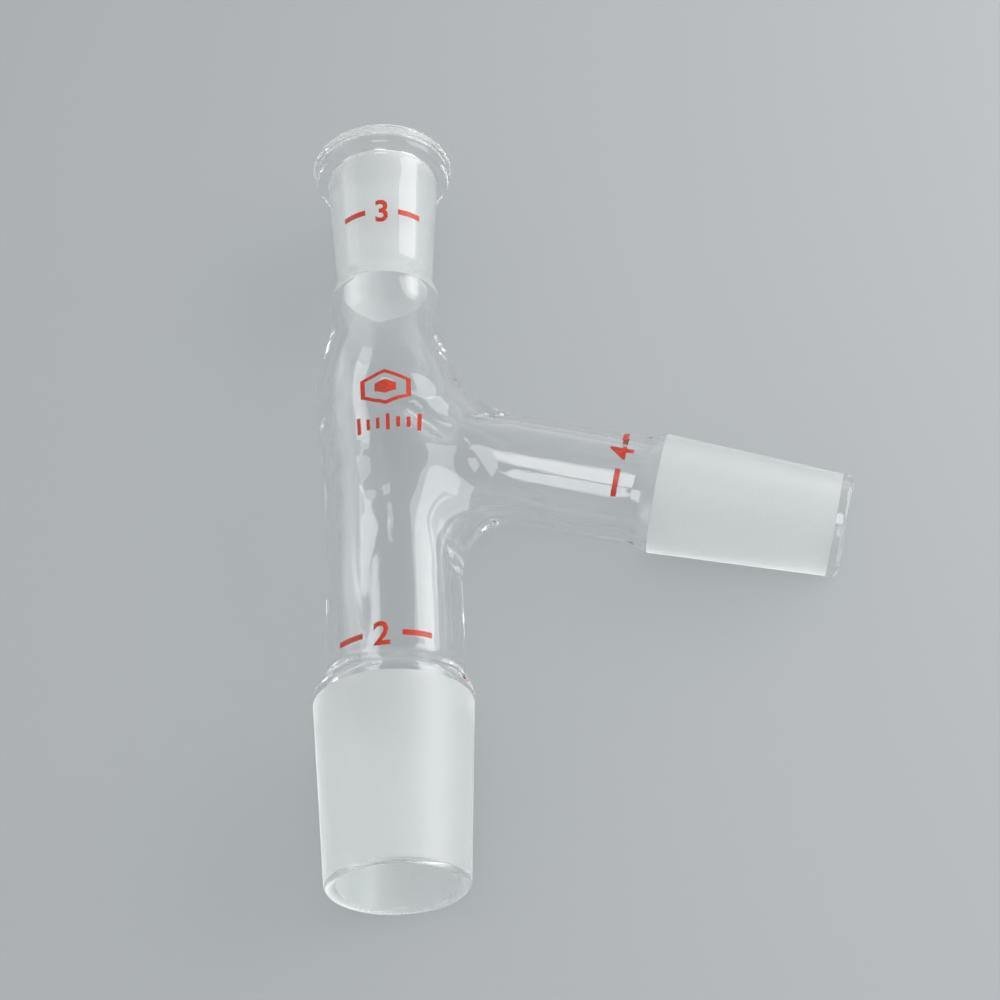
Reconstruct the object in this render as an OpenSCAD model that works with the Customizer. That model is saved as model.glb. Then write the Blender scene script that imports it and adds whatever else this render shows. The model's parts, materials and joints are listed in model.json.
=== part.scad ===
// Distillation head: a straight tube with a ground cone below, a ground socket above for a thermometer
// adapter, and a slanting side arm that ends in a ground cone of its own. It is one piece of blown glass.
// It lies on a table as it comes to rest: on the lower cone's shoulder, the socket's rim and the side cone.
// Millimetres. Heights along the head are measured from the tip of the lower cone.

/* [Lower cone] */
// Diameter at the wide end of the ground part
cone_d = 24; // [22:0.1:29.2]
// Length of the ground part
cone_l = 29; // [20:1:36]

/* [Thermometer socket] */
// Bore at the mouth of the ground socket
socket_d = 14.5; // [12.5:0.1:16]
// Depth of the ground part
socket_l = 23; // [14:1:28]
// Wall around the foot of the ground bore
socket_wall = 1.8; // [1.2:0.1:2.2]
// Wall around the ground bore just under the rim
socket_wall_top = 2.1; // [1.2:0.1:2.6]
// Height of the clear flared mouth above the ground part
mouth_h = 1.5; // [0.8:0.1:3]
// Outer diameter of the beaded rim
rim_d = 23.4; // [22:0.1:27]
// Height of the beaded rim
rim_h = 4.2; // [3:0.1:5.5]

/* [Side cone] */
// Diameter at the wide end of the ground part
side_d = 18.8; // [17:0.1:22]
// Length of the ground part
side_l = 26; // [18:1:32]

/* [Body] */
// From the tip of the lower cone to the top of the rim
head_l = 131.5; // [125:0.5:160]
// Outer diameter of the straight tube
body_d = 20.8; // [17:0.1:22]
// Outer diameter where the tube swells beside the side arm
bulb_d = 22.8; // [20:0.1:27]
// Outer diameter of the neck under the socket
neck_d = 17.7; // [15:0.1:21]
// Glass thickness of the body and the lower cone
wall = 1.8; // [1.2:0.1:2.2]

/* [Side arm] */
// Outer diameter of the side arm
arm_d = 16.6; // [13:0.1:17]
// Glass thickness of the side arm and its cone
arm_wall = 1.6; // [1.2:0.1:2]
// Height at which the side arm's axis crosses the body's
arm_at = 74.8; // [66:0.2:80]
// From the body's axis to the tip of the side arm
arm_reach = 72.7; // [62:0.1:95]
// Angle between the side arm and the lower cone
arm_angle = 75; // [65:1:90]
// Radius of the blown fillet above the side arm
upper_bend = 22; // [12:0.5:26]
// Radius of the blown fillet below the side arm
lower_bend = 9.5; // [5:0.5:12]

/* [Ground joints] */
// Diameter lost for each millimetre of length
taper = 0.1; // [0.08:0.01:0.12]
// Clear polished glass beyond the ground part of the lower cone
cone_tip = 0.9; // [0.9:0.1:3]
// Clear polished glass beyond the ground part of the side cone
side_tip = 3.2; // [0.9:0.1:5]
// Height of the slope from each cone's wide end to its tube
shoulder = 3.8; // [2.6:0.2:6]

/* [Hidden] */
$fn = 96;
curve_steps = 14;   // straight pieces in each blown curve of an outline
past = 1;           // how far a cutting shape runs past what it cuts
seat = 0.15;        // how far a bend's skin lies inside the tubes that it joins

// heights along the head
cone_top = cone_tip + cone_l;
ground_top = head_l - mouth_h;
ground_end = ground_top - socket_l;
neck_high = ground_end - 4.5;
neck_low = ground_end - 8;
bulb_low = arm_at - 12;
bulb_at = arm_at + 8;
// distances along the side arm
side_wide = arm_reach - side_tip - side_l;
// half thicknesses, which are the radii of the fire-polished tips
lip = wall / 2;
arm_lip = arm_wall / 2;
// radii of the two ridges of the rim
bead = rim_h * 0.32;
edge = rim_h * 0.2;

// radius of a ground joint at a distance back from its wide end
function ground_r(wide_d, back) = (wide_d - taper * back) / 2;

// points of a blown swell from [r0, h0] to [r1, h1], level with the axis at both ends
function swell(r0, h0, r1, h1) =
    [for (i = [0:curve_steps]) let(t = i / curve_steps)
        [r0 + (r1 - r0) * (1 - cos(180 * t)) / 2, h0 + (h1 - h0) * t]];

// points of an arc about [r, h]
function arc(r, h, radius, from, to) =
    [for (i = [0:curve_steps]) let(a = from + (to - from) * i / curve_steps)
        [r + radius * cos(a), h + radius * sin(a)]];

// the straight tube's skin between its two joints, a given depth under the outside
function body_skin(depth) = concat(
    swell(cone_d / 2 - depth, cone_top, body_d / 2 - depth, cone_top + shoulder),
    swell(body_d / 2 - depth, bulb_low, bulb_d / 2 - depth, bulb_at),
    swell(bulb_d / 2 - depth, bulb_at + 1, neck_d / 2 - depth, neck_low));

cone_tip_r = ground_r(cone_d, cone_top - lip);
side_tip_r = ground_r(side_d, side_l + side_tip - arm_lip);
socket_foot = ground_r(socket_d, socket_l);
rim_foot = ground_r(socket_d, rim_h - mouth_h) + socket_wall_top;

// the straight tube as a solid rod
module body_outside() {
    rotate_extrude()
        polygon(concat(
            [[0, 0]],
            arc(cone_tip_r - lip, lip, lip, -90, 0),
            body_skin(0),
            swell(neck_d / 2, neck_high, socket_foot + socket_wall, ground_end),
            [[rim_foot, head_l - rim_h]],
            arc(rim_d / 2 - edge / 2 - bead, head_l - rim_h + bead, bead, -60, 60),
            arc(rim_d / 2 - edge, head_l - edge, edge, -20, 90),
            [[0, head_l]]));
}

// the straight tube's bore, run out past both ends
module body_inside() {
    mouth_r = socket_d / 2 + mouth_h;
    rotate_extrude()
        polygon(concat(
            [[0, -past], [cone_tip_r - lip, -past]],
            arc(cone_tip_r - lip, lip, lip, 270, 180),
            body_skin(wall),
            swell(neck_d / 2 - wall, neck_high, socket_foot, ground_end),
            [[socket_d / 2, ground_top]],
            arc(mouth_r, ground_top, mouth_h, 180, 90),
            [[mouth_r, head_l + past], [0, head_l + past]]));
}

// what is about the side arm's axis: the children's own axis becomes that of the arm
module on_arm() {
    translate([0, 0, arm_at])
        rotate([0, 180 - arm_angle, 0])
            children();
}

// the side arm as a solid rod, from the body's axis outwards
module arm_outside() {
    on_arm()
        rotate_extrude()
            polygon(concat(
                [[0, 0], [arm_d / 2, 0]],
                swell(arm_d / 2, side_wide - shoulder, side_d / 2, side_wide),
                arc(side_tip_r - arm_lip, arm_reach - arm_lip, arm_lip, 0, 90),
                [[0, arm_reach]]));
}

// the side arm's bore, run out past its tip
module arm_inside() {
    on_arm()
        rotate_extrude()
            polygon(concat(
                [[0, 0], [arm_d / 2 - arm_wall, 0]],
                swell(arm_d / 2 - arm_wall, side_wide - shoulder, side_d / 2 - arm_wall, side_wide),
                arc(side_tip_r - arm_lip, arm_reach - arm_lip, arm_lip, 180, 90),
                [[side_tip_r - arm_lip, arm_reach + past], [0, arm_reach + past]]));
}

// one blown bend between arm and body: a rod round the fillet's centre, from side_angle to the body
module bend(fillet, beside, up, radius) {
    centreline = fillet + arm_d / 2;
    centre_x = beside - seat + fillet;
    along = (centre_x - up * centreline * cos(arm_angle)) / sin(arm_angle);
    centre_h = arm_at - along * cos(arm_angle) + up * centreline * sin(arm_angle);
    from = up > 0 ? 180 : arm_angle;
    sweep = up > 0 ? arm_angle : 180 - arm_angle;
    translate([centre_x, 0, centre_h])
        rotate([90, 0, 0])
            rotate(from)
                rotate_extrude(angle = sweep)
                    translate([centreline, 0])
                        circle(radius);
}

// both bends, of a given radius
module bends(radius) {
    bend(upper_bend, neck_d / 2, 1, radius);
    bend(lower_bend, body_d / 2, -1, radius);
}

// the whole head standing on the tip of its lower cone, with the side arm towards +X
module standing_head() {
    difference() {
        union() {
            body_outside();
            arm_outside();
            bends(arm_d / 2 - seat);
        }
        body_inside();
        arm_inside();
        bends(arm_d / 2 - seat - arm_wall);
    }
}

// How the head lies. Before it is laid, its axis points to +Y and its side arm to +X. It may touch the
// table at four rings, each given as [centre, axis, radius, radius of its rounded edge].
arm_way = [sin(arm_angle), -cos(arm_angle), 0];
arm_root = [0, arm_at, 0];
tip_ring = [[0, lip, 0], [0, 1, 0], cone_tip_r - lip, lip];
shoulder_ring = [[0, cone_top, 0], [0, 1, 0], cone_d / 2, 0];
rim_ring = [[0, head_l - edge, 0], [0, 1, 0], rim_d / 2 - edge, edge];
wide_ring = [arm_root + side_wide * arm_way, arm_way, side_d / 2, 0];
end_ring = [arm_root + (arm_reach - arm_lip) * arm_way, arm_way, side_tip_r - arm_lip, arm_lip];

// pitch that brings shoulder and rim to one table
span = rim_ring[0].y - shoulder_ring[0].y;
rise = rim_ring[2] - shoulder_ring[2];
pitch = atan2(rise, span) + asin(edge / norm([span, rise]));
table = sin(pitch) * cone_top - cos(pitch) * cone_d / 2;

// sideways lean of the table at which a ring of the arm touches it
function lean(ring, guess = 0, rounds = 4) =
    rounds == 0 ? guess :
    let(tilt = guess * ring[1].x + sin(pitch) * ring[1].y,
        level = table + ring[3] - sin(pitch) * ring[0].y + ring[2] * sqrt(1 - tilt * tilt))
    lean(ring, level / ring[0].x, rounds - 1);

arm_lean = max(lean(wide_ring), lean(end_ring));
roll = -atan2(arm_lean, sqrt(1 - arm_lean * arm_lean - sin(pitch) * sin(pitch)));

// where a point or direction goes when the head is laid
function rolled(v) = [v.x * cos(roll) + v.z * sin(roll), v.y, v.z * cos(roll) - v.x * sin(roll)];
function pitched(v) = [v.x, v.y * cos(pitch) - v.z * sin(pitch), v.y * sin(pitch) + v.z * cos(pitch)];
function laid(v) = pitched(rolled(v));

// how far a laid ring reaches along +X or +Y (axis 0 or 1), or against it with way -1
function reach(ring, axis, way) =
    laid(ring[0])[axis] + way * (ring[2] * sqrt(1 - pow(laid(ring[1])[axis], 2)) + ring[3]);

left = -max(cone_d, bulb_d, rim_d) / 2;
middle_x = (left + reach(end_ring, 0, 1)) / 2;
middle_y = (reach(tip_ring, 1, -1) + reach(rim_ring, 1, 1)) / 2;

module glass_head() {
    color([0.82, 0.87, 0.87, 0.5])
        translate([-middle_x, -middle_y, -table])
            rotate([pitch, 0, 0])
                rotate([0, roll, 0])
                    rotate([-90, 0, 0])
                        standing_head();
}

glass_head();
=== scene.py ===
import bisect
import json
import math

import bmesh
import bpy
from mathutils import Matrix, Vector, noise
from mathutils.bvhtree import BVHTree
from mathutils.geometry import intersect_point_line


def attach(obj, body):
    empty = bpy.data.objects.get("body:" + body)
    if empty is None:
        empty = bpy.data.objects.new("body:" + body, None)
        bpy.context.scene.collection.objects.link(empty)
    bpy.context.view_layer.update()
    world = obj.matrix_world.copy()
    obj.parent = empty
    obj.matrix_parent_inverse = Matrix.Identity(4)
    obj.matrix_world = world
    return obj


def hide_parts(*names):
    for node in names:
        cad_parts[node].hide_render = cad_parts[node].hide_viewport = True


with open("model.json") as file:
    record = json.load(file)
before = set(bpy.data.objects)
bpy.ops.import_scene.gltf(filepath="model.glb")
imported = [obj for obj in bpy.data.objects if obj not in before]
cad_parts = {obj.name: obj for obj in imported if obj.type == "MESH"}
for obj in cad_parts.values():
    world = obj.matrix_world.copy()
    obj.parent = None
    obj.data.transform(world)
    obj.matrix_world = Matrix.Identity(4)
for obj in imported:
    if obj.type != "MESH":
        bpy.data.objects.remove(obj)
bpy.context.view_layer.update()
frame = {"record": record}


# How the head lies. The record's mounts give its two axes: the straight tube's, from the lower cone to the
# thermometer socket, and the side arm's. Every glass shape below is made standing on the tip of its lower
# cone, with the side arm towards +X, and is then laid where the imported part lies.
cone_l = 0.029
cone_tip = 0.0009
cone_top = cone_tip + cone_l
mounts = {m["name"]: m for m in frame["record"]["mounts"]}
cone_place = Vector(mounts["lower_cone"]["pos_m"])
socket_place = Vector(mounts["thermometer_socket"]["pos_m"])
side_place = Vector(mounts["side_cone"]["pos_m"])
head_way = (socket_place - cone_place).normalized()
tip_place = cone_place - head_way * cone_top
side_from_tip = side_place - tip_place
side_wide_x = side_from_tip - head_way * side_from_tip.dot(head_way)
side_way = side_wide_x.normalized()
top_way = side_way.cross(head_way)
lay = Matrix((side_way, -top_way, head_way)).transposed().to_4x4()
lay.translation = tip_place


# The head is one piece of clear borosilicate glass, blown and joined in a flame: a straight tube, a bulge
# where the side arm leaves it, a narrow neck, and a tooled rim. The wall is about 1.8 mm all over.
cone_d = 0.024
body_d = 0.0208
bulb_d = 0.0228
neck_d = 0.0177
wall = 0.0018
shoulder = 0.0038
taper = 0.1
mouth_h = 0.0015
socket_d = 0.0145
socket_l = 0.023
socket_wall = 0.0018
socket_wall_top = 0.0021
rim_d = 0.0234
rim_h = 0.0042
bead = rim_h * 0.32
edge = rim_h * 0.2
lip = wall / 2
ground_top = cone_top + (socket_place - cone_place).length
head_l = ground_top + mouth_h
ground_end = ground_top - socket_l
neck_high = ground_end - 0.0045
neck_low = ground_end - 0.008
curve_steps = 14
ring_step = 0.001
body_steps = 96

# The side arm is a thinner tube, sealed into the bulge at 75 degrees from the lower cone.
arm_d = 0.0166
arm_wall = 0.0016
arm_lip = arm_wall / 2
side_d = 0.0188
side_l = 0.026
side_tip = 0.0032
arm_way = Matrix.Rotation(math.radians(180 - 75), 3, "Y") @ Vector((0, 0, 1))
side_wide = side_wide_x.length / arm_way.x
arm_at = side_from_tip.dot(head_way) - side_wide * arm_way.z
arm_reach = side_wide + side_l + side_tip
arm_root = Vector((0, 0, arm_at))
arm_up = Vector((-arm_way.z, 0, arm_way.x))
bulb_low = arm_at - 0.012
bulb_at = arm_at + 0.008


def swell(r0, h0, r1, h1):
    """A blown swell from radius r0 to r1, level with the axis at both ends."""
    points = []
    for i in range(curve_steps + 1):
        t = i / curve_steps
        points.append((r0 + (r1 - r0) * (1 - math.cos(math.pi * t)) / 2, h0 + (h1 - h0) * t))
    return points


def arc(r, h, radius, start, end):
    """Points of an arc about (r, h), from start to end in degrees."""
    points = []
    for i in range(curve_steps + 1):
        a = math.radians(start + (end - start) * i / curve_steps)
        points.append((r + radius * math.cos(a), h + radius * math.sin(a)))
    return points


def fill_in(points):
    """The same outline with no two points further apart than ring_step."""
    filled = [points[0]]
    for (r0, h0), (r1, h1) in zip(points, points[1:]):
        count = math.ceil(max(abs(h1 - h0), abs(r1 - r0)) / ring_step - 1e-6)
        for i in range(1, count + 1):
            filled.append((r0 + (r1 - r0) * i / count, h0 + (h1 - h0) * i / count))
    return filled


def tube_skin(depth):
    """The straight tube between its joints, a given depth under the outside."""
    return (swell(cone_d / 2 - depth, cone_top, body_d / 2 - depth, cone_top + shoulder)
            + swell(body_d / 2 - depth, bulb_low, bulb_d / 2 - depth, bulb_at)
            + swell(bulb_d / 2 - depth, bulb_at + 0.001, neck_d / 2 - depth, neck_low))


def joint_r(wide_d, back):
    """Radius of a ground joint at a distance back from its wide end."""
    return (wide_d - taper * back) / 2


cone_tip_r = joint_r(cone_d, cone_top - lip)
side_tip_r = joint_r(side_d, side_l + side_tip - arm_lip)
socket_foot = joint_r(socket_d, socket_l)
rim_foot = joint_r(socket_d, rim_h - mouth_h) + socket_wall_top
mouth_r = socket_d / 2 + mouth_h

body_outline = fill_in(
    arc(cone_tip_r - lip, lip, lip, -90, 0)
    + tube_skin(0)
    + swell(neck_d / 2, neck_high, socket_foot + socket_wall, ground_end)
    + [(rim_foot, head_l - rim_h)]
    + arc(rim_d / 2 - edge / 2 - bead, head_l - rim_h + bead, bead, -60, 60)
    + arc(rim_d / 2 - edge, head_l - edge, edge, -20, 90))
bore_outline = fill_in(
    arc(cone_tip_r - lip, lip, lip, 270, 180)
    + tube_skin(wall)
    + swell(neck_d / 2 - wall, neck_high, socket_foot, ground_end)
    + [(socket_d / 2, ground_top)]
    + arc(mouth_r, ground_top, mouth_h, 180, 90)
    + [(rim_d / 2 - edge, head_l)])


# the arm's own skin starts just outside the bulge
arm_start = 0.0165


def arm_outline(depth, lip_start):
    """The side arm from just outside the bulge to the top of its fire-polished lip."""
    return fill_in(
        [(arm_d / 2 - depth, arm_start)]
        + swell(arm_d / 2 - depth, side_wide - shoulder, side_d / 2 - depth, side_wide)
        + arc(side_tip_r - arm_lip, arm_reach - arm_lip, arm_lip, lip_start, 90))


def radius_at(outline, height):
    """The tube's radius at a height, read off its outline."""
    above = bisect.bisect(outline, height, key=lambda point: point[1])
    (r0, h0), (r1, h1) = outline[above - 1], outline[above]
    return r0 + (r1 - r0) * (height - h0) / (h1 - h0)


# how softly arm and tube run into each other above and beside the arm, and below it on each skin
melt_above = 0.0108
melt_beside = 0.005
melt_below_outside = 0.0149
melt_below_inside = 0.0128


def off_glass(point, outline, arm_r, melt_below):
    """Distance from a point to the molten joint of tube and arm, negative inside the glass."""
    off_tube = math.hypot(point.x, point.y) - radius_at(outline, point.z)
    from_root = point - arm_root
    square = from_root - arm_way * from_root.dot(arm_way)
    off_arm = square.length - arm_r
    side = square.dot(arm_up) / max(square.length, 1e-9)
    melt = melt_beside + (melt_above - melt_beside) * max(side, 0) ** 2
    melt += (melt_below - melt_beside) * max(-side, 0) ** 2
    share = max(melt - abs(off_tube - off_arm), 0) / melt
    return min(off_tube, off_arm) - share * share * melt / 4


def pull_onto_glass(verts, outline, arm_r, melt_below):
    """Moves the vertices straight onto the molten joint's surface."""
    nudge = 1e-5
    least_slope = 0.05
    for v in verts:
        off = off_glass(v.co, outline, arm_r, melt_below)
        slope = Vector()
        for axis in range(3):
            beside = v.co.copy()
            beside[axis] += nudge
            slope[axis] = (off_glass(beside, outline, arm_r, melt_below) - off) / nudge
        v.co -= slope * off / max(slope.length_squared, least_slope)


def spin_outline(skin, points, centre, axis, steps):
    """Spins a row of points into a skin of revolution."""
    verts = [skin.verts.new(p) for p in points]
    edges = [skin.edges.new(pair) for pair in zip(verts, verts[1:])]
    bmesh.ops.spin(skin, geom=verts + edges, cent=centre, axis=axis, angle=2 * math.pi,
                   steps=steps, use_merge=True)


# the hole blown in the tube's side for the arm, and how far the seam round it is worked smooth
hole_low = arm_at - 0.0125
hole_high = arm_at + 0.0075
hole_turn = math.radians(50)
hole_margin = 0.005
seam_rings = 4
seam_half = 0.034
seam_reach = 0.031
seam_turns = 24


def head_skin(outline, arm_points, melt_below):
    """One skin of the head: the tube's and the arm's, with a melted seam between them."""
    skin = bmesh.new()
    spin_outline(skin, [(r, 0, h) for r, h in outline], (0, 0, 0), (0, 0, 1), body_steps)
    hole = []
    for face in skin.faces:
        middle = face.calc_center_median()
        if hole_low < middle.z < hole_high and abs(math.atan2(middle.y, middle.x)) < hole_turn:
            hole.append(face)
    bmesh.ops.delete(skin, geom=hole, context="FACES")
    by_hole = [e for e in skin.edges if hole_low - hole_margin < e.verts[0].co.z < hole_high + hole_margin]
    tube_edge = [e for e in by_hole if e.is_boundary]
    old = set(skin.verts)
    points = [arm_root + arm_way * h + arm_up * r for r, h in arm_points]
    spin_outline(skin, points, arm_root, arm_way, len(tube_edge))
    arm_edge = [e for e in skin.edges if e.is_boundary and not (set(e.verts) & old)
                and (e.verts[0].co - arm_root).dot(arm_way) < arm_start + ring_step / 2]
    bridge = bmesh.ops.bridge_loops(skin, edges=tube_edge + arm_edge)
    bmesh.ops.subdivide_edges(skin, edges=bridge["edges"], cuts=seam_rings, use_grid_fill=True)
    arm_r = arm_points[0][0]
    seam = []
    for v in skin.verts:
        along = (v.co - arm_root).dot(arm_way)
        on_arm_side = v.co.x > -0.001 and abs(v.co.z - arm_at) < seam_half
        if on_arm_side and along < seam_reach and not v.is_boundary:
            seam.append(v)
    for turn in range(seam_turns):
        bmesh.ops.smooth_vert(skin, verts=seam, factor=0.5, use_axis_x=True, use_axis_y=True, use_axis_z=True)
        pull_onto_glass(seam, outline, arm_r, melt_below)
    pull_onto_glass(seam, outline, arm_r, melt_below)
    return skin


outside = head_skin(body_outline, arm_outline(0, 0), melt_below_outside)
inside = head_skin(bore_outline, arm_outline(arm_wall, 180), melt_below_inside)


def ease(low, high, value):
    """0 below low, 1 above high, and a smooth step between them."""
    t = min(max((value - low) / (high - low), 0), 1)
    return t * t * (3 - 2 * t)


def on_arm(point):
    """Distances of a point along the side arm's axis and square to it."""
    from_root = point - arm_root
    along = from_root.dot(arm_way)
    return along, (from_root - arm_way * along).length


# a fold of thicker glass runs down across the front of the seal
fold = [Vector((0, 0.0775)), Vector((0.0039, 0.0750)), Vector((0.0082, 0.0720)), Vector((0.0130, 0.0695))]
fold_width = 0.0014


def on_fold(point):
    """How much a point lies on the fold: 1 along its middle, and fading to both sides."""
    if point.y > 0:
        return 0
    flat = Vector((point.x, point.z))
    off = 1
    for start, end in zip(fold, fold[1:]):
        nearest, share = intersect_point_line(flat, start, end)
        nearest = start.lerp(end, min(max(share, 0), 1))
        off = min(off, (flat - nearest.xy).length)
    return math.exp(-(off / fold_width) ** 2)


# What the glassblower's hands leave: the tube a hair off the joints' axis, faint waves, and a lumpy seal.
# The joints themselves are true, because they are ground.
off_centre = 0.00047
seal = Vector((0.004, 0, arm_at + 0.002))
seal_core = 0.009
seal_edge = 0.022
lump_scale = 190
wave_scale = 90
fold_scale = 300
# from where to where the waves, and the shift off the axis, set in and die out
waves_in = (cone_top + 0.002, cone_top + 0.007)
waves_out = (ground_end - 0.009, ground_end - 0.003)
waves_out_on_arm = (side_wide - 0.012, side_wide - 0.006)
aside_in = (0.030, 0.036)
aside_out = (0.062, 0.082)
aside_out_to_arm = (0.011, 0.019)


def work_by_hand(skin, wave, lump, start, thick):
    """Gives one skin its faint waves, its lumps about the seal, its fold, and its place off the axis."""
    skin.normal_update()
    for v in skin.verts:
        on_seal = 1 - ease(seal_core, seal_edge, (v.co - seal).length)
        on_tube = ease(*waves_in, v.co.z) * (1 - ease(*waves_out, v.co.z))
        on_tube *= 1 - ease(*waves_out_on_arm, on_arm(v.co)[0])
        lumps = noise.noise(v.co * lump_scale + Vector((start, 0, 0))) * lump * on_seal
        waves = noise.noise(v.co * wave_scale + Vector((start, 3, 0))) * wave * on_tube
        aside = ease(*aside_in, v.co.z) * (1 - ease(*aside_out, v.co.z))
        aside *= 1 - ease(*aside_out_to_arm, v.co.x)
        v.co.y += thick * on_fold(v.co) * (1 + noise.noise(v.co * fold_scale))
        v.co += v.normal * (lumps + waves)
        v.co.x += off_centre * aside


work_by_hand(outside, wave=0.00002, lump=0.0002, start=0.0, thick=-0.0003)
work_by_hand(inside, wave=0.00007, lump=0.0004, start=7.0, thick=0.0004)
glass_side = BVHTree.FromBMesh(outside)


# Three surfaces are ground with wet grit so that they seal: both cones outside, and the socket inside. The
# grinding stops just under the lower cone's widest ring.
clear_slot = 0
ground_slot = 1
grind_top = cone_top - 0.0011
cut_band = 0.002
socket_run_out = 0.0035
side_run_in = 0.0002
side_run_out = 0.001
near_arm = 0.012
near_axis = 0.009
near = [f for f in outside.faces if abs(f.calc_center_median().z - grind_top) < cut_band]
near_edges = dict.fromkeys(e for f in near for e in f.edges)
near_verts = dict.fromkeys(v for f in near for v in f.verts)
near += [*near_edges, *near_verts]
bmesh.ops.bisect_plane(outside, geom=near, plane_co=(0, 0, grind_top), plane_no=(0, 0, 1))
for face in outside.faces:
    middle = face.calc_center_median()
    along, square = on_arm(middle)
    on_cone = cone_tip * 0.6 < middle.z < grind_top
    on_side = (square < near_arm
               and side_wide - side_run_in < along < side_wide + side_l + side_run_out)
    face.material_index = ground_slot if on_cone or on_side else clear_slot
for face in inside.faces:
    middle = face.calc_center_median()
    on_socket = ground_end - socket_run_out < middle.z < ground_top and middle.xy.length < near_axis
    face.material_index = ground_slot if on_socket else clear_slot

# the two skins meet at the three fire-polished lips, which closes the wall
glass_mesh = bpy.data.meshes.new("glass")
skin_mesh = bpy.data.meshes.new("skin")
walls = bmesh.new()
for skin in (outside, inside):
    skin.to_mesh(skin_mesh)
    walls.from_mesh(skin_mesh)
    skin.free()
bmesh.ops.remove_doubles(walls, verts=walls.verts, dist=1e-5)
bmesh.ops.recalc_face_normals(walls, faces=walls.faces)
bmesh.ops.transform(walls, matrix=lay, verts=walls.verts)
for face in walls.faces:
    face.smooth = True
walls.to_mesh(glass_mesh)
glass = bpy.data.objects.new("glass", glass_mesh)
bpy.context.scene.collection.objects.link(glass)
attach(glass, "root")
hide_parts("glass_head")


def new_material(name):
    """A material with its shader and a way to add nodes that feed it."""
    material = bpy.data.materials.new(name)
    material.use_nodes = True
    tree = material.node_tree
    shader = tree.nodes["Principled BSDF"]
    return material, tree, shader


def object_noise(tree, scale, detail):
    """Noise on object coordinates, scale per metre."""
    place = tree.nodes.new("ShaderNodeTexCoord")
    grain = tree.nodes.new("ShaderNodeTexNoise")
    grain.inputs["Scale"].default_value = scale
    grain.inputs["Detail"].default_value = detail
    tree.links.new(place.outputs["Object"], grain.inputs["Vector"])
    return grain


def raise_bump(tree, shader, height, distance, strength):
    """Feeds a height into the shader's normal."""
    bump = tree.nodes.new("ShaderNodeBump")
    bump.inputs["Distance"].default_value = distance
    bump.inputs["Strength"].default_value = strength
    tree.links.new(height, bump.inputs["Height"])
    tree.links.new(bump.outputs["Normal"], shader.inputs["Normal"])


def let_lamps_through(tree, shader, tint):
    """Lets light reach what lies under the glass, which is tinted only a little on the way."""
    path = tree.nodes.new("ShaderNodeLightPath")
    either = tree.nodes.new("ShaderNodeMath")
    either.operation = "MAXIMUM"
    tree.links.new(path.outputs["Is Shadow Ray"], either.inputs[0])
    tree.links.new(path.outputs["Is Diffuse Ray"], either.inputs[1])
    straight = tree.nodes.new("ShaderNodeBsdfTransparent")
    straight.inputs["Color"].default_value = (*tint, 1)
    mix = tree.nodes.new("ShaderNodeMixShader")
    tree.links.new(either.outputs["Value"], mix.inputs["Fac"])
    tree.links.new(shader.outputs["BSDF"], mix.inputs[1])
    tree.links.new(straight.outputs["BSDF"], mix.inputs[2])
    tree.links.new(mix.outputs["Shader"], tree.nodes["Material Output"].inputs["Surface"])


# clear glass: hardly any tint, and the faint waves that blowing leaves
glass_ior = 1.474
clear, tree, shader = new_material("clear_glass")
shader.inputs["Base Color"].default_value = (0.980, 0.984, 0.984, 1)
shader.inputs["Roughness"].default_value = 0.0
shader.inputs["IOR"].default_value = glass_ior
shader.inputs["Transmission Weight"].default_value = 1.0
waves = object_noise(tree, 130, 1)
raise_bump(tree, shader, waves.outputs["Fac"], 0.0006, 0.12)
let_lamps_through(tree, shader, (0.965, 0.975, 0.972))
glass_mesh.materials.append(clear)

# ground glass: the same glass, cut matt with fine grit
ground, tree, shader = new_material("ground_glass")
shader.inputs["Base Color"].default_value = (0.892, 0.907, 0.899, 1)
shader.inputs["Roughness"].default_value = 0.68
shader.inputs["IOR"].default_value = glass_ior
shader.inputs["Transmission Weight"].default_value = 0.75
grit = object_noise(tree, 3500, 3)
raise_bump(tree, shader, grit.outputs["Fac"], 0.00008, 0.6)
let_lamps_through(tree, shader, (0.86, 0.88, 0.875))
glass_mesh.materials.append(ground)

# The marks are red enamel, screened onto the glass and fired: a plain number at each of the three joints
# between two dashes, and a plain six-sided badge with a row of ticks under it on the bulge.
enamel_thick = 0.00007
enamel_sunk = 0.00002
digit_share = 0.69
well_outside = 0.02
# the print is on the side that faces up when the head lies, which is -Y while it stands
upwards = Vector((0, -1, 0))
arc_step = 0.0005

enamel, tree, shader = new_material("red_enamel")
shader.inputs["Roughness"].default_value = 0.35
blotches = object_noise(tree, 1500, 3)
tint = tree.nodes.new("ShaderNodeValToRGB")
tint.color_ramp.elements[0].position = 0.35
tint.color_ramp.elements[0].color = (0.46, 0.028, 0.012, 1)
tint.color_ramp.elements[1].position = 0.65
tint.color_ramp.elements[1].color = (0.62, 0.050, 0.025, 1)
tree.links.new(blotches.outputs["Fac"], tint.inputs["Fac"])
tree.links.new(tint.outputs["Color"], shader.inputs["Base Color"])
raise_bump(tree, shader, blotches.outputs["Fac"], 0.00002, 0.5)


def bar(flat, x, y, width, height):
    """A flat bar of enamel about (x, y)."""
    made = bmesh.ops.create_grid(flat, x_segments=1, y_segments=1, size=0.5)
    bmesh.ops.scale(flat, vec=(width, height, 1), verts=made["verts"])
    bmesh.ops.translate(flat, vec=(x, y, 0), verts=made["verts"])


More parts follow.
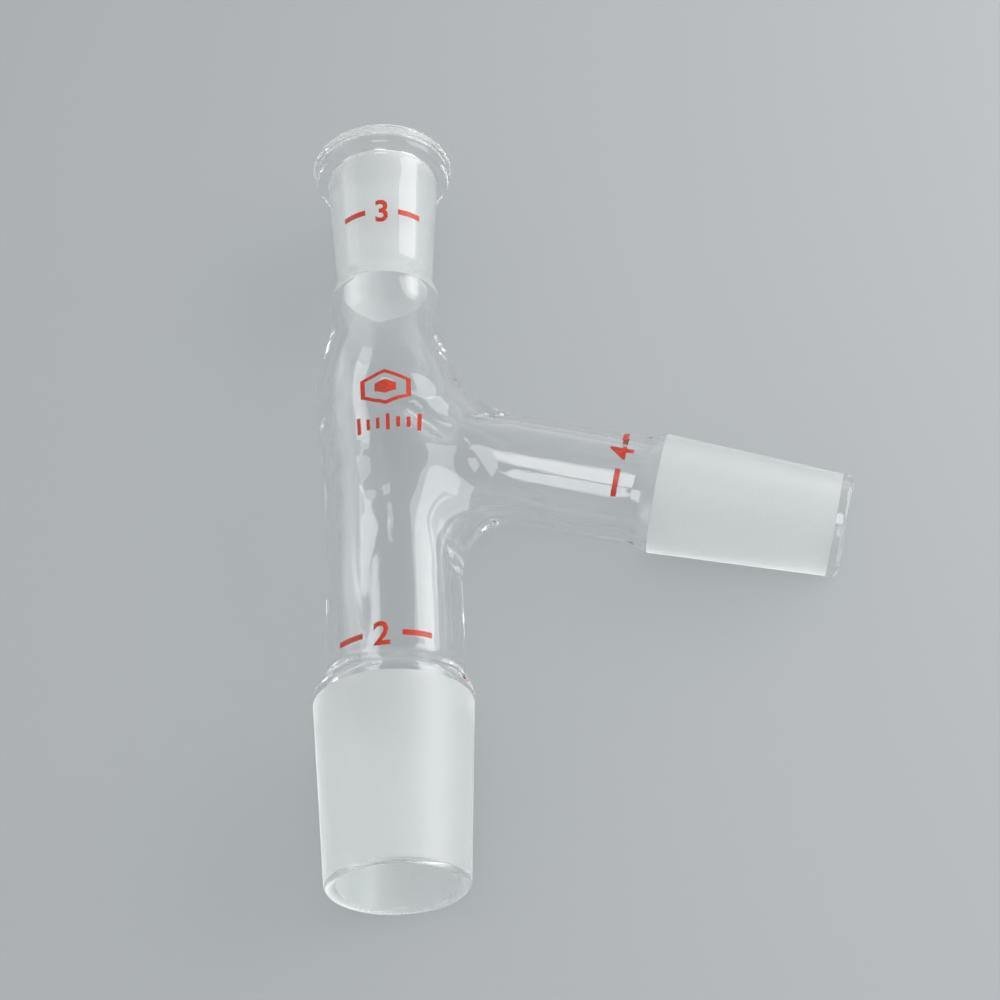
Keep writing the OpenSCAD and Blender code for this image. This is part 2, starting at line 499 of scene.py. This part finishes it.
def six_sided(flat, width, height, band):
    """A flat six-sided badge: a band with a smaller plate inside it."""
    for size, hollow in ((1.0, True), (0.42, False)):
        made = bmesh.ops.create_circle(flat, cap_ends=True, segments=6, radius=0.5 * size)
        if hollow:
            face = made["verts"][0].link_faces[0]
            bmesh.ops.inset_region(flat, faces=[face], thickness=band / height, use_boundary=True)
            bmesh.ops.delete(flat, geom=[face], context="FACES_ONLY")
    bmesh.ops.scale(flat, vec=(width, height, 1), verts=flat.verts)


def digit(flat, number, height):
    """A flat plain digit, centred."""
    type_curve = bpy.data.curves.new("digit", "FONT")
    type_curve.body = number
    type_curve.size = height / digit_share
    type_curve.offset = height * 0.03
    type_object = bpy.data.objects.new("digit", type_curve)
    bpy.context.scene.collection.objects.link(type_object)
    bpy.context.view_layer.update()
    graph = bpy.context.evaluated_depsgraph_get()
    letter = bpy.data.meshes.new_from_object(type_object.evaluated_get(graph))
    bpy.data.objects.remove(type_object)
    before = set(flat.verts)
    flat.from_mesh(letter)
    fresh = [v for v in flat.verts if v not in before]
    middle_x = (min(v.co.x for v in fresh) + max(v.co.x for v in fresh)) / 2
    middle_y = (min(v.co.y for v in fresh) + max(v.co.y for v in fresh)) / 2
    bmesh.ops.translate(flat, vec=(-middle_x, -middle_y, 0), verts=fresh)


def fire_on(name, flat, root, way, turn_way, along, turn, radius, rise):
    """Wraps a flat mark round a tube, lets it settle on the glass, and makes it a piece."""
    bmesh.ops.remove_doubles(flat, verts=flat.verts, dist=1e-6)
    raised = bmesh.ops.extrude_face_region(flat, geom=flat.faces[:])
    top = [v for v in raised["geom"] if isinstance(v, bmesh.types.BMVert)]
    bmesh.ops.translate(flat, vec=(0, 0, enamel_thick), verts=top)
    reach = max(abs(v.co.x) for v in flat.verts)
    for i in range(-math.floor(reach / arc_step), math.floor(reach / arc_step) + 1):
        bmesh.ops.bisect_plane(flat, geom=flat.verts[:] + flat.edges[:] + flat.faces[:],
                               plane_co=(i * arc_step, 0, 0), plane_no=(1, 0, 0))
    for v in flat.verts:
        angle = math.radians(turn) + v.co.x / radius
        out = upwards * math.cos(angle) + turn_way * math.sin(angle)
        middle = root + way * (along + rise * v.co.y)
        surface = glass_side.ray_cast(middle + out * well_outside, -out)[0]
        v.co = surface + out * (v.co.z - enamel_sunk)
    bmesh.ops.transform(flat, matrix=lay, verts=flat.verts)
    bmesh.ops.recalc_face_normals(flat, faces=flat.faces)
    mark_mesh = bpy.data.meshes.new(name)
    flat.to_mesh(mark_mesh)
    flat.free()
    mark_mesh.materials.append(enamel)
    mark = bpy.data.objects.new(name, mark_mesh)
    bpy.context.scene.collection.objects.link(mark)
    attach(mark, "root")


def numbered(number, height, width):
    """A digit between two dashes."""
    flat = bmesh.new()
    dash = width * 0.3
    for side in (-1, 1):
        bar(flat, side * (width - dash) / 2, 0, dash, height * 0.24)
    digit(flat, number, height)
    return flat


no_root = Vector((0, 0, 0))
along_head = Vector((0, 0, 1))
to_side = Vector((1, 0, 0))
fire_on("mark_lower_cone", numbered("2", height=0.0037, width=0.0150), no_root, along_head, to_side,
        along=0.0356, turn=-6, radius=0.0104, rise=1)
fire_on("mark_socket", numbered("3", height=0.0040, width=0.0154), no_root, along_head, to_side,
        along=0.1153, turn=0.5, radius=0.0095, rise=1)
fire_on("mark_side_cone", numbered("4", height=0.0035, width=0.0146), arm_root, arm_way, arm_up,
        along=0.0371, turn=7, radius=0.0083, rise=-1)
badge = bmesh.new()
six_sided(badge, width=0.0092, height=0.0064, band=0.0006)
fire_on("mark_badge", badge, no_root, along_head, to_side, along=0.0782, turn=1, radius=0.0114, rise=1)
ticks = bmesh.new()
tick_count = 7
tick_gap = 0.0016
tick_width = 0.0006
long_tick = 0.0028
short_tick = 0.0018
for i in range(tick_count):
    bar(ticks, (i - tick_count // 2) * tick_gap, 0, tick_width, long_tick if i % 3 == 0 else short_tick)
fire_on("mark_ticks", ticks, no_root, along_head, to_side, along=0.0719, turn=2.5, radius=0.0113, rise=1)


# The floor is a plain pale sheet of card. A large soft lamp on the right and one overhead light it, with a
# faint one on the left and the pale room around, which is darker overhead.
floor_shape = bmesh.new()
bmesh.ops.create_grid(floor_shape, x_segments=1, y_segments=1, size=3)
floor_mesh = bpy.data.meshes.new("floor")
floor_shape.to_mesh(floor_mesh)
floor_shape.free()
floor = bpy.data.objects.new("floor", floor_mesh)
bpy.context.scene.collection.objects.link(floor)
card, tree, shader = new_material("floor_card")
shader.inputs["Base Color"].default_value = (0.445, 0.463, 0.477, 1)
shader.inputs["Roughness"].default_value = 0.85
shader.inputs["Specular IOR Level"].default_value = 0.15
floor_mesh.materials.append(card)

world = bpy.data.worlds.new("studio")
bpy.context.scene.world = world
world.use_nodes = True
tree = world.node_tree
room = tree.nodes["Background"]
room.inputs["Color"].default_value = (0.955, 0.98, 1.0, 1)
heading = tree.nodes.new("ShaderNodeTexCoord")
split = tree.nodes.new("ShaderNodeSeparateXYZ")
height = tree.nodes.new("ShaderNodeMapRange")
height.inputs["To Min"].default_value = 1.02
height.inputs["To Max"].default_value = 0.25
tree.links.new(heading.outputs["Generated"], split.inputs["Vector"])
tree.links.new(split.outputs["Z"], height.inputs["Value"])
tree.links.new(height.outputs["Result"], room.inputs["Strength"])


def softbox(name, place, aim, width, height, power):
    """A soft lamp at a place, turned to an aim."""
    lamp_data = bpy.data.lights.new(name, "AREA")
    lamp_data.shape = "RECTANGLE"
    lamp_data.size = width
    lamp_data.size_y = height
    lamp_data.energy = power
    lamp = bpy.data.objects.new(name, lamp_data)
    lamp.location = place
    lamp.rotation_euler = (Vector(place) - Vector(aim)).to_track_quat("Z", "Y").to_euler()
    bpy.context.scene.collection.objects.link(lamp)


lamp_aim = (0, 0, 0.01)
softbox("softbox_left", (-0.56, 0.38, 0.22), lamp_aim, width=0.36, height=0.30, power=0.2)
softbox("softbox_right", (0.40, 0.12, 0.22), lamp_aim, width=0.50, height=0.32, power=1.65)
softbox("softbox_top", (0.0, -0.17, 0.73), lamp_aim, width=0.30, height=0.40, power=1.6)

bpy.context.scene.view_settings.view_transform = "Standard"
# light runs a long way to and fro inside the thick glass edges
glass_bounces = 48
bpy.context.scene.cycles.max_bounces = glass_bounces
bpy.context.scene.cycles.transmission_bounces = glass_bounces
bpy.context.scene.cycles.glossy_bounces = glass_bounces

# The camera looks down on the lying head from above its lower cone.
elevation = math.radians(58.44)
azimuth = math.radians(4.33)
roll = math.radians(-8.01)
distance = 0.3602
target = Vector((-0.0129, -0.0015, 0.01))
camera_data = bpy.data.cameras.new("camera")
camera_data.lens = 83
camera_data.sensor_width = 36
camera = bpy.data.objects.new("camera", camera_data)
back = Vector((math.sin(azimuth) * math.cos(elevation), -math.cos(azimuth) * math.cos(elevation),
               math.sin(elevation)))
turn = back.to_track_quat("Z", "Y").to_matrix() @ Matrix.Rotation(roll, 3, "Z")
camera.location = target + back * distance
camera.rotation_euler = turn.to_euler()
bpy.context.scene.collection.objects.link(camera)
bpy.context.scene.camera = camera
